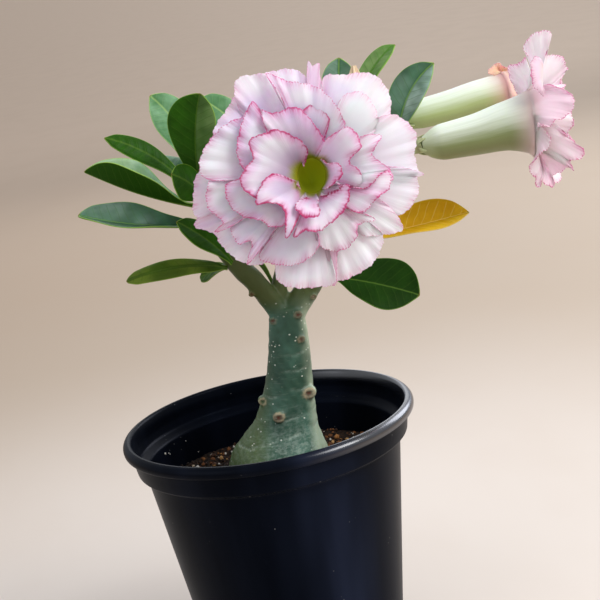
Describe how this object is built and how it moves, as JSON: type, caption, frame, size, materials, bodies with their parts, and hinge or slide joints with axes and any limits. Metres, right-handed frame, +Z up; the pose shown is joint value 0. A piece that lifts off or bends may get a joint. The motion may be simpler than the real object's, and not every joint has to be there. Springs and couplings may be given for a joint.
{
  "type": "potted desert rose plant",
  "caption": "Desert rose with a swollen trunk, forked branches, leathery leaves, one open many-petalled bloom and trumpet side blooms, standing in a round tapered nursery pot of soil.",
  "frame": {"origin": "centre of the pot's flat base, on the surface that it stands on", "axes": "+Z up, along the pot's axis; -Y towards the side that the open bloom faces; +X towards the side blooms"},
  "size_m": [0.1909, 0.114, 0.2318],
  "materials": {
    "pot_plastic": "black moulded plastic with a satin sheen and fine dust",
    "soil": "dark crumbly potting soil with chips and pale grit",
    "bark": "smooth grey-green living bark with pale flecks and brown leaf scars",
    "leaf": "leathery dark green leaf with a glossy upper face and a pale midrib",
    "yellow_leaf": "ageing yellow leaf with a green base and a pale midrib",
    "petal": "soft white to pale pink petals with frilled magenta edges",
    "calyx": "smooth fresh green stalk and sepals",
    "spent_petal": "dry, creased, buff-coloured wilted flower"
  },
  "bodies": {
    "root": {"back_bloom": "petal", "back_bloom_calyx": "calyx", "front_bloom": "petal", "front_bloom_calyx": "calyx", "leaf_back_1": "leaf", "leaf_back_2": "leaf", "leaf_back_3": "leaf", "leaf_back_4": "leaf", "leaf_back_5": "leaf", "leaf_left_1": "leaf", "leaf_left_10": "leaf", "leaf_left_11": "leaf", "leaf_left_2": "leaf", "leaf_left_3": "leaf", "leaf_left_4": "leaf", "leaf_left_5": "leaf", "leaf_left_6": "leaf", "leaf_left_7": "leaf", "leaf_left_8": "leaf", "leaf_left_9": "leaf", "leaf_right_1": "leaf", "leaf_right_2": "leaf", "leaf_right_3": "leaf", "leaf_right_4": "yellow_leaf", "leaf_right_5": "leaf", "main_bloom": "petal", "main_bloom_calyx": "calyx", "pot": "pot_plastic", "soil": "soil", "spent_flower": "spent_petal", "stem": "bark"}
  },
  "joints": []
}
